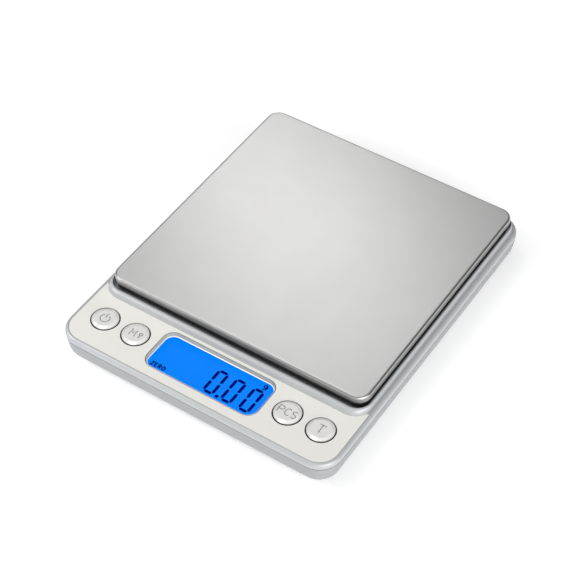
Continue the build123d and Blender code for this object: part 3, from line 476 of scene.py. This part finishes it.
inside = {
    "board_green": simple_finish("board_green", (0.02, 0.16, 0.06), 0.35, 0.0, 0.25 * MM, 0.004 * MM),
    "chip_black": simple_finish("chip_black", (0.02, 0.02, 0.02), 0.55, 0.0, 0.12 * MM, 0.004 * MM),
    "plunger_black": simple_finish("plunger_black", (0.03, 0.03, 0.03), 0.45, 0.0, 0.10 * MM, 0.002 * MM),
    "screw_steel": simple_finish("screw_steel", (0.62, 0.61, 0.58), 0.30, 1.0, 0.10 * MM, 0.002 * MM),
    "spring_steel": simple_finish("spring_steel", (0.70, 0.69, 0.66), 0.24, 1.0, 0.10 * MM, 0.001 * MM),
    "cell_aluminium": simple_finish(
        "cell_aluminium", (0.72, 0.73, 0.74), 0.38, 1.0, 0.10 * MM, 0.002 * MM, stretch=(40, 1, 1)),
    "sealant_white": simple_finish("sealant_white", (0.78, 0.78, 0.75), 0.55, 0.0, 0.6 * MM, 0.03 * MM),
    "lead_red": simple_finish("lead_red", (0.42, 0.02, 0.015), 0.42, 0.0, 0.2 * MM, 0.002 * MM),
    "lead_black": simple_finish("lead_black", (0.02, 0.02, 0.02), 0.42, 0.0, 0.2 * MM, 0.002 * MM),
    "lead_white": simple_finish("lead_white", (0.75, 0.75, 0.72), 0.42, 0.0, 0.2 * MM, 0.002 * MM),
}
print("inside finishes:", len(inside))

# %% [markdown]
# ## The battery sleeve
# Each cell wears a printed sleeve: a plain dark jacket, a coppery band by its positive end, and bare
# steel at both ends. The bands are cut by the distance along the cell, read from object coordinates.

# %% Battery sleeves
SLEEVE_DARK = (0.03, 0.032, 0.04)
SLEEVE_COPPER = (0.48, 0.22, 0.08)
BARE_STEEL = (0.62, 0.61, 0.58)


def battery_sleeve(node, facing):
    """A sleeve finish with a copper band near the nub; facing is the side the nub is on."""
    low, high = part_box(node)
    start = low.x if facing < 0 else high.x
    finish = new_finish(node + "_sleeve", SLEEVE_DARK, 0.28, metallic=0.4, coat=0.5)
    tree = finish.node_tree
    place = tree.nodes.new("ShaderNodeTexCoord")
    axes = tree.nodes.new("ShaderNodeSeparateXYZ")
    along = tree.nodes.new("ShaderNodeMapRange")
    along.inputs["From Min"].default_value = start
    along.inputs["From Max"].default_value = start - facing * (high.x - low.x)
    bands = tree.nodes.new("ShaderNodeValToRGB")
    bands.color_ramp.interpolation = "CONSTANT"
    nub, copper = bands.color_ramp.elements
    nub.color = (*BARE_STEEL, 1)
    copper.position = 0.035
    copper.color = (*SLEEVE_COPPER, 1)
    jacket = bands.color_ramp.elements.new(0.28)
    jacket.color = (*SLEEVE_DARK, 1)
    base = bands.color_ramp.elements.new(0.985)
    base.color = (*BARE_STEEL, 1)
    tree.links.new(place.outputs["Object"], axes.inputs["Vector"])
    tree.links.new(axes.outputs["X"], along.inputs["Value"])
    tree.links.new(along.outputs["Result"], bands.inputs["Fac"])
    tree.links.new(bands.outputs["Color"], tree.nodes["Principled BSDF"].inputs["Base Color"])
    drift_gloss(finish, 0.24, 0.34, 1.5 * MM)
    return finish


front_sleeve = battery_sleeve("front_battery", -1)
back_sleeve = battery_sleeve("back_battery", 1)
print("battery sleeves made")

# %% [markdown]
# ## Dress the CAD nodes
# The record already says which stuff each node is made of. So the finishes are filed under the same slot
# names, and one loop puts them on. Only the two cells are set by hand, because each has its own bands.

# %% Put the finishes on
finishes = {
    "upper_shell": upper_shell,
    "lower_shell": lower_shell,
    "face": face,
    "pan_steel": pan_steel,
    "carrier_black": carrier_black,
    "foam_pad": foam_pad,
    "key_cap": key_cap,
    "clear_window": clear_window,
    "lcd_blue": lcd_blue,
    "diffuser": diffuser,
    "foot_rubber": foot_rubber,
    **inside,
}
own_finish = {"front_battery": front_sleeve, "back_battery": back_sleeve}
slot_of = {row["node"]: row["material_slot"] for row in frame["record"]["subparts"]}


def dress(node, finish):
    """Gives a CAD node one finish in each of its slots."""
    for place in nodes[node].material_slots:
        place.material = finish


for node, slot_name in slot_of.items():
    dress(node, own_finish.get(node) or finishes[slot_name])
print("dressed", len(slot_of), "nodes with", len(finishes) + len(own_finish), "finishes")

# %% [markdown]
# ## Two studio matters
# Bright lamps drown the display's own light, so it is kept out of what steel and paint mirror. And a white
# sheet on a light table is a little brighter than the lamps above make it, which thins the shadows.

# %% Display light and table paper
nodes["lcd_glass"].visible_glossy = False
nodes["lcd_glass"].visible_diffuse = False

PAPER_GLOW = 0.23
table_paper = new_finish("table_paper", (0.93, 0.93, 0.93), 0.8, specular=0.1)
drift_colour(table_paper, (0.925, 0.925, 0.925), (0.935, 0.935, 0.935), 60 * MM)
paper_shader = table_paper.node_tree.nodes["Principled BSDF"]
paper_shader.inputs["Emission Color"].default_value = (1, 1, 1, 1)
paper_shader.inputs["Emission Strength"].default_value = PAPER_GLOW
floor.data.materials.append(table_paper)
print("table paper laid")

# %% [markdown]
# ## Display segments
# The lit digits are seven-bar figures. Each bar is a flat six-sided plate with pointed ends, so that
# neighbours meet at a mitre with a hair of blue between them. A bar is drawn from its two ends, so the same
# two helpers make all seven.

# %% Plates and bars
DIGIT_WIDTH = 4.4 * MM
DIGIT_HEIGHT = 10.4 * MM
BAR = 1.05 * MM
BAR_GAP = 0.30 * MM


def plate(bm, corners, low, thickness):
    """A thin flat plate with the given outline."""
    rings = [[bm.verts.new((x, y, low + rise)) for x, y in corners] for rise in (0, thickness)]
    count = len(corners)
    bm.faces.new(list(reversed(rings[0])))
    bm.faces.new(rings[1])
    for i in range(count):
        j = (i + 1) % count
        bm.faces.new((rings[0][i], rings[0][j], rings[1][j], rings[1][i]))


def bar_outline(start, end, width):
    """Six corners of a bar with pointed ends."""
    run = end - start
    step = run.normalized() * width / 2
    side = Vector((-step.y, step.x))
    points = [start, start + step + side, end - step + side, end, end - step - side, start + step - side]
    return [(p.x, p.y) for p in points]


def bar_ends(name):
    """Start and end of a bar, in a digit whose lower left corner is the origin."""
    left, right = BAR / 2, DIGIT_WIDTH - BAR / 2
    low, mid, high = BAR / 2, DIGIT_HEIGHT / 2, DIGIT_HEIGHT - BAR / 2
    trim = BAR_GAP / 2
    ends = {
        "top": ((left + trim, high), (right - trim, high)),
        "middle": ((left + trim, mid), (right - trim, mid)),
        "bottom": ((left + trim, low), (right - trim, low)),
        "top_left": ((left, mid + trim), (left, high - trim)),
        "top_right": ((right, mid + trim), (right, high - trim)),
        "low_left": ((left, low + trim), (left, mid - trim)),
        "low_right": ((right, low + trim), (right, mid - trim)),
    }
    return [Vector(p) for p in ends[name]]


print("bar width mm:", round(BAR / MM, 2), "digit height mm:", round(DIGIT_HEIGHT / MM, 1))

# %% [markdown]
# ## The reading
# The scale shows zero, so three noughts and a point lie on the glass, under the window. They could be
# painted on with a texture, but thin plates stay sharp from near by.

# %% Digits on the glass
glass_low, glass_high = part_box("lcd_glass")
window_low, window_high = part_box("lcd_window")
INK_THICKNESS = 0.03 * MM
ZERO_BARS = ("top", "top_left", "top_right", "low_left", "low_right", "bottom")


def finished_piece(name, bm, finish, body):
    """Turns a bmesh into a named piece with a finish that rides on a body."""
    bmesh.ops.recalc_face_normals(bm, faces=bm.faces)
    mesh = bpy.data.meshes.new(name)
    bm.to_mesh(mesh)
    bm.free()
    mesh.materials.append(finish)
    piece = bpy.data.objects.new(name, mesh)
    scene.collection.objects.link(piece)
    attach(piece, body)
    return piece


DIGIT_PITCH = 6.85 * MM
DIGIT_SHIFT = 0.25 * MM
DIGIT_DROP = 5.55 * MM
POINT_GAP = 1.3 * MM
display_middle = middle("lcd_window")
digit_left = display_middle.x + DIGIT_SHIFT
digit_low = display_middle.y - DIGIT_DROP
ink_low = glass_high.z
for index in range(3):
    corner = Vector((digit_left + index * DIGIT_PITCH, digit_low))
    digit_bm = bmesh.new()
    for bar_name in ZERO_BARS:
        start, end = bar_ends(bar_name)
        plate(digit_bm, bar_outline(start + corner, end + corner, BAR), ink_low, INK_THICKNESS)
    finished_piece(f"display_digit_{index + 1}", digit_bm, lcd_ink, "root")
point_bm = bmesh.new()
point_centre = Vector((digit_left + DIGIT_WIDTH + POINT_GAP, digit_low + BAR / 2))
point_reach = BAR * 0.55
point_corners = [
    (point_centre.x + sx * point_reach, point_centre.y + sy * point_reach)
    for sx, sy in ((-1, -1), (1, -1), (1, 1), (-1, 1))
]
plate(point_bm, point_corners, ink_low, INK_THICKNESS)
finished_piece("display_point", point_bm, lcd_ink, "root")
print("digits lie at z mm:", round(ink_low / MM, 2), "window from", round(window_low.z / MM, 2))

# %% [markdown]
# ## The display's surround
# The opening in the panel is finished by a thin sloping frame, with a dark ring of painted shade in the
# groove round it.
# Both are swept rings: one short cross-section carried round a rectangle with round corners. The section
# is a list of offsets from the opening's edge and heights, so the ring closes on itself without a seam.

# %% A ring round the opening
OPENING_MARGIN = 1.0 * MM
OPENING_CORNER = 3.8 * MM
CORNER_STEPS = 12
face_low_corner, face_high_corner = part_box("face_plate")
opening_width = (window_high.x - window_low.x) - 2 * OPENING_MARGIN
opening_depth = (window_high.y - window_low.y) - 2 * OPENING_MARGIN


def opening_outline(offset):
    """Points round the display opening, moved outward by an offset."""
    radius = OPENING_CORNER + offset
    reach_x = opening_width / 2 - OPENING_CORNER
    reach_y = opening_depth / 2 - OPENING_CORNER
    points = []
    for turn, (sx, sy) in enumerate(((1, 1), (-1, 1), (-1, -1), (1, -1))):
        for i in range(CORNER_STEPS + 1):
            angle = math.radians(90 * (turn + i / CORNER_STEPS))
            points.append((
                display_middle.x + sx * reach_x + radius * math.cos(angle),
                display_middle.y + sy * reach_y + radius * math.sin(angle),
            ))
    return points


def swept_ring(name, section, finish):
    """A ring round the opening from a closed section of (offset, height) pairs."""
    bm = bmesh.new()
    loops = []
    for offset, height in section:
        loops.append([bm.verts.new((x, y, height)) for x, y in opening_outline(offset)])
    count = len(loops[0])
    for k, loop in enumerate(loops):
        following = loops[(k + 1) % len(loops)]
        for i in range(count):
            j = (i + 1) % count
            bm.faces.new((loop[i], loop[j], following[j], following[i]))
    return finished_piece(name, bm, finish, "root")


print("opening of mm:", round(opening_width / MM, 1), "x", round(opening_depth / MM, 1))

# %% [markdown]
# ## Two sections to sweep
# The frame's section goes up the opening's wall, over a small lip and down the slope to the window. Its
# foot gets a painted highlight, with a band of painted shade just above it, by the height as on the pan.
# The dark ring in the groove outside it is painted shade, a low bead where the groove's shade falls.

# %% Surround and painted shade ring
panel_level = face_high_corner.z
groove_level = face_low_corner.z
window_level = window_high.z
SURROUND_SECTION = (
    (-0.03 * MM, window_level + 0.02 * MM),
    (-0.03 * MM, groove_level + 0.02 * MM),
    (0.04 * MM, groove_level + 0.02 * MM),
    (0.04 * MM, panel_level - 0.10 * MM),
    (-0.02 * MM, panel_level - 0.04 * MM),
    (-0.10 * MM, panel_level - 0.05 * MM),
    (-0.26 * MM, window_level + 0.42 * MM),
    (-0.30 * MM, window_level + 0.16 * MM),
    (-0.50 * MM, window_level + 0.08 * MM),
    (-0.50 * MM, window_level + 0.02 * MM),
)
# Painted shade: a dark low ring in the groove round the opening.
SHADE_RING_SECTION = (
    (0.07 * MM, groove_level + 0.02 * MM),
    (0.27 * MM, groove_level + 0.02 * MM),
    (0.27 * MM, panel_level - 0.22 * MM),
    (0.17 * MM, panel_level - 0.16 * MM),
    (0.07 * MM, panel_level - 0.22 * MM),
)
SURROUND_GREY = (0.52, 0.53, 0.54)
# Painted highlight at the surround's foot and a painted shade band above it, by height.
PAINTED_FOOT_HIGHLIGHT = ((-1.60, 1.85), (-1.42, 1.7), (-1.20, 0.85), (0.0, 1.0))
surround_paint = new_finish("surround_paint", SURROUND_GREY, 0.30, metallic=0.2, coat=0.2)
drift_colour(surround_paint, scaled(SURROUND_GREY, 0.98), scaled(SURROUND_GREY, 1.02), 4 * MM)
shade_by_height(surround_paint, panel_level, PAINTED_FOOT_HIGHLIGHT)
add_grain(surround_paint, 0.10 * MM, 0.0008 * MM)
swept_ring("display_surround", SURROUND_SECTION, surround_paint)
SHADE_RING_GREY = (0.03, 0.03, 0.032)
painted_shade_ring = new_finish("painted_shade_ring", SHADE_RING_GREY, 0.6, specular=0.3)
drift_colour(painted_shade_ring, scaled(SHADE_RING_GREY, 0.8), scaled(SHADE_RING_GREY, 1.2), 0.8 * MM)
add_grain(painted_shade_ring, 0.08 * MM, 0.002 * MM)
swept_ring("display_shade_ring", SHADE_RING_SECTION, painted_shade_ring)
print("surround from z mm:", round(groove_level / MM, 2), "to", round(panel_level / MM, 2))

# %% [markdown]
# ## Small signs drawn as strokes
# The unit, the zero mark and the key legends are drawn as pen strokes: straight runs and arcs in a box one
# unit high. Strokes are plain lists of points, so one set of signs serves the flat display and the keys.

# %% Strokes for the signs
def arc(centre, radius, start, end, steps=14, squash=1.0):
    """Points along an arc, angles in degrees."""
    angles = [math.radians(start + (end - start) * i / steps) for i in range(steps + 1)]
    return [(centre[0] + radius * math.cos(a), centre[1] + radius * squash * math.sin(a)) for a in angles]


SIGNS = {
    "P": [[(0, 0), (0, 1), (0.35, 1)] + arc((0.35, 0.74), 0.26, 90, -90) + [(0, 0.48)]],
    "C": [arc((0.36, 0.5), 0.36, 50, 310, squash=1.38)],
    "S": [arc((0.30, 0.76), 0.25, 35, 270, squash=0.96) + arc((0.30, 0.26), 0.27, 90, -145, squash=0.96)],
    "T": [[(0, 1), (0.7, 1)], [(0.35, 1), (0.35, 0)]],
    "M": [[(0, 0), (0, 1), (0.34, 0.35), (0.68, 1), (0.68, 0)]],
    "Z": [[(0, 1), (0.6, 1), (0, 0), (0.6, 0)]],
    "E": [[(0.55, 1), (0, 1), (0, 0), (0.55, 0)], [(0, 0.5), (0.45, 0.5)]],
    "R": [
        [(0, 0), (0, 1), (0.32, 1)] + arc((0.32, 0.74), 0.26, 90, -90) + [(0, 0.48)],
        [(0.28, 0.48), (0.6, 0)],
    ],
    "O": [arc((0.33, 0.5), 0.33, 0, 360, steps=24, squash=1.5)],
    "g": [
        arc((0.3, 0.5), 0.3, 0, 360, steps=20),
        [(0.6, 0.8), (0.6, 0.05)] + arc((0.3, 0.05), 0.3, 0, -150),
    ],
}


def word_strokes(word, height, gap):
    """Strokes of a word centred on the origin, with its real height."""
    strokes, pen = [], 0.0
    for letter in word:
        wide = max(x for stroke in SIGNS[letter] for x, _ in stroke)
        strokes += [[(x + pen, y) for x, y in stroke] for stroke in SIGNS[letter]]
        pen += wide + gap
    middle_x = (pen - gap) / 2
    return [[((x - middle_x) * height, (y - 0.5) * height) for x, y in stroke] for stroke in strokes]


print("signs drawn:", " ".join(SIGNS))

# %% [markdown]
# ## Ribbons on the glass
# On the display a stroke becomes a flat ribbon, as thin as the digits. At each corner its two edges are
# pushed out along the mitre, so that it keeps its width round the bend.

# %% Unit and zero mark
def ribbon(bm, points, width, low, thickness):
    """A flat ribbon along a stroke, with mitred corners."""
    path = [Vector(p) for p in points]
    left, right = [], []
    for i, here in enumerate(path):
        before = (here - path[i - 1]).normalized() if i else None
        after = (path[i + 1] - here).normalized() if i < len(path) - 1 else None
        run = ((before or after) + (after or before)).normalized()
        side = Vector((-run.y, run.x))
        spread = width / 2 / max(0.5, run.dot(after or before))
        left.append(here + side * spread)
        right.append(here - side * spread)
    low_left, low_right, top_left, top_right = [
        [bm.verts.new((*p, low + rise)) for p in edge] for rise in (0, thickness) for edge in (left, right)
    ]
    for i in range(len(path) - 1):
        bm.faces.new((top_left[i], top_right[i], top_right[i + 1], top_left[i + 1]))
        bm.faces.new((low_left[i + 1], low_right[i + 1], low_right[i], low_left[i]))
        bm.faces.new((low_left[i], top_left[i], top_left[i + 1], low_left[i + 1]))
        bm.faces.new((low_right[i + 1], top_right[i + 1], top_right[i], low_right[i]))
    for i in (0, -1):
        bm.faces.new((low_left[i], low_right[i], top_right[i], top_left[i]))


def display_sign(name, word, height, gap, centre, width):
    """A word on the display glass."""
    bm = bmesh.new()
    for stroke in word_strokes(word, height, gap):
        ribbon(bm, [(x + centre[0], y + centre[1]) for x, y in stroke], width, ink_low, INK_THICKNESS)
    return finished_piece(name, bm, lcd_ink, "root")


unit_centre = (display_middle.x + 17.0 * MM, display_middle.y + 6.85 * MM)
zero_centre = (display_middle.x - 17.2 * MM, display_middle.y - 5.0 * MM)
display_sign("display_unit", "g", 1.85 * MM, 0.2, unit_centre, 0.44 * MM)
display_sign("display_zero_mark", "ZERO", 1.45 * MM, 0.42, zero_centre, 0.44 * MM)
print("unit and zero mark drawn")

# %% [markdown]
# ## Key legends
# The legends are moulded into the caps, one for each use: power, mode with its lamp, piece count, tare.
# Each is a curve with a fine round bevel, which stands about half out of the cap, in a darker grey than it.

# %% Legends on the keys
LEGEND_BEAD = 0.16 * MM
LEGEND_SINK = LEGEND_BEAD * 0.45
LEGEND_GREY = (0.17, 0.17, 0.165)
legend_grey = new_finish("legend_grey", LEGEND_GREY, 0.35, metallic=0.3)
drift_colour(legend_grey, scaled(LEGEND_GREY, 0.9), scaled(LEGEND_GREY, 1.1), 0.5 * MM)
add_grain(legend_grey, 0.05 * MM, 0.0005 * MM)


def key_legend(key, strokes):
    """A bead along each stroke, on top of a key's cap."""
    cap_low, cap_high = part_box(f"{key}_key")
    centre = (cap_low + cap_high) / 2
    line = bpy.data.curves.new(f"{key}_legend", "CURVE")
    line.dimensions = "3D"
    line.bevel_depth = LEGEND_BEAD
    line.bevel_resolution = 3
    line.use_fill_caps = True
    for stroke in strokes:
        spline = line.splines.new("POLY")
        spline.points.add(len(stroke) - 1)
        for point, (x, y) in zip(spline.points, stroke):
            point.co = (centre.x + x, centre.y + y, cap_high.z - LEGEND_SINK, 1)
    line.materials.append(legend_grey)
    piece = bpy.data.objects.new(f"{key}_legend", line)
    scene.collection.objects.link(piece)
    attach(piece, f"{key}_key")


LETTER_HEIGHT = 2.8 * MM
power_ring = arc((0, -0.1 * MM), 1.65 * MM, 125, 415, steps=30)
power_bar = [(0, 0.1 * MM), (0, 2.2 * MM)]
lamp_shift = 1.85 * MM
lamp_ring = arc((lamp_shift, 0.55 * MM), 0.55 * MM, 0, 360, steps=18)
lamp_stem = [(lamp_shift, 0), (lamp_shift, -1.2 * MM)]
mode_letter = [[(x - 0.85 * MM, y) for x, y in stroke] for stroke in word_strokes("M", LETTER_HEIGHT, 0.2)]
key_legend("power", [power_ring, power_bar])
key_legend("mode", mode_letter + [lamp_ring, lamp_stem])
key_legend("count", word_strokes("PCS", LETTER_HEIGHT, 0.27))
key_legend("tare", word_strokes("T", 3.3 * MM, 0.2))
print("legends on four keys")

# %% [markdown]
# ## Snap domes
# Under each key a small spring steel dome snaps flat when it is pressed. CAD holds it at rest; here each
# dome is spun from one arc and its inner arc, in place of the CAD dome, which is hidden.

# %% Spun snap domes
DOME_SHEET = 0.10 * MM
DOME_RINGS = 8
DOME_SIDES = 40


def dome_profile(radius, height, steps):
    """Radius and height pairs from the rim to the crown of a shallow dome."""
    quarter = math.pi / 2
    return [
        (radius * math.cos(quarter * i / steps), height * math.sin(quarter * i / steps))
        for i in range(steps + 1)
    ]


def spun_dome(name, centre, low, radius, height):
    """A closed shell: outer and inner skins that meet at the rim."""
    bm = bmesh.new()
    skins = []
    for shrink in (0, DOME_SHEET):
        rings = []
        for reach, rise in dome_profile(radius - shrink, height - shrink, DOME_RINGS)[:-1]:
            rings.append([
                bm.verts.new((
                    centre.x + reach * math.cos(2 * math.pi * k / DOME_SIDES),
                    centre.y + reach * math.sin(2 * math.pi * k / DOME_SIDES),
                    low + rise,
                ))
                for k in range(DOME_SIDES)
            ])
        skins.append((rings, bm.verts.new((centre.x, centre.y, low + height - shrink))))
    for rings, crown in skins:
        for ring, above in zip(rings, rings[1:]):
            for k in range(DOME_SIDES):
                j = (k + 1) % DOME_SIDES
                bm.faces.new((ring[k], ring[j], above[j], above[k]))
        for k in range(DOME_SIDES):
            bm.faces.new((rings[-1][k], rings[-1][(k + 1) % DOME_SIDES], crown))
    outer_rim, inner_rim = skins[0][0][0], skins[1][0][0]
    for k in range(DOME_SIDES):
        j = (k + 1) % DOME_SIDES
        bm.faces.new((outer_rim[k], inner_rim[k], inner_rim[j], outer_rim[j]))
    return finished_piece(name, bm, inside["spring_steel"], "root")


for key in ("power", "mode", "count", "tare"):
    dome_low, dome_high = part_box(f"{key}_dome")
    dome_centre = (dome_low + dome_high) / 2
    dome_radius = (dome_high.x - dome_low.x) / 2
    sprung = spun_dome(f"{key}_snap_dome", dome_centre, dome_low.z, dome_radius, dome_high.z - dome_low.z)
    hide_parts(f"{key}_dome")
    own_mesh(sprung)
dome_size = (dome_high - dome_low) / MM
print("snap domes across, high in mm:", round(dome_size.x, 2), round(dome_size.z, 2))
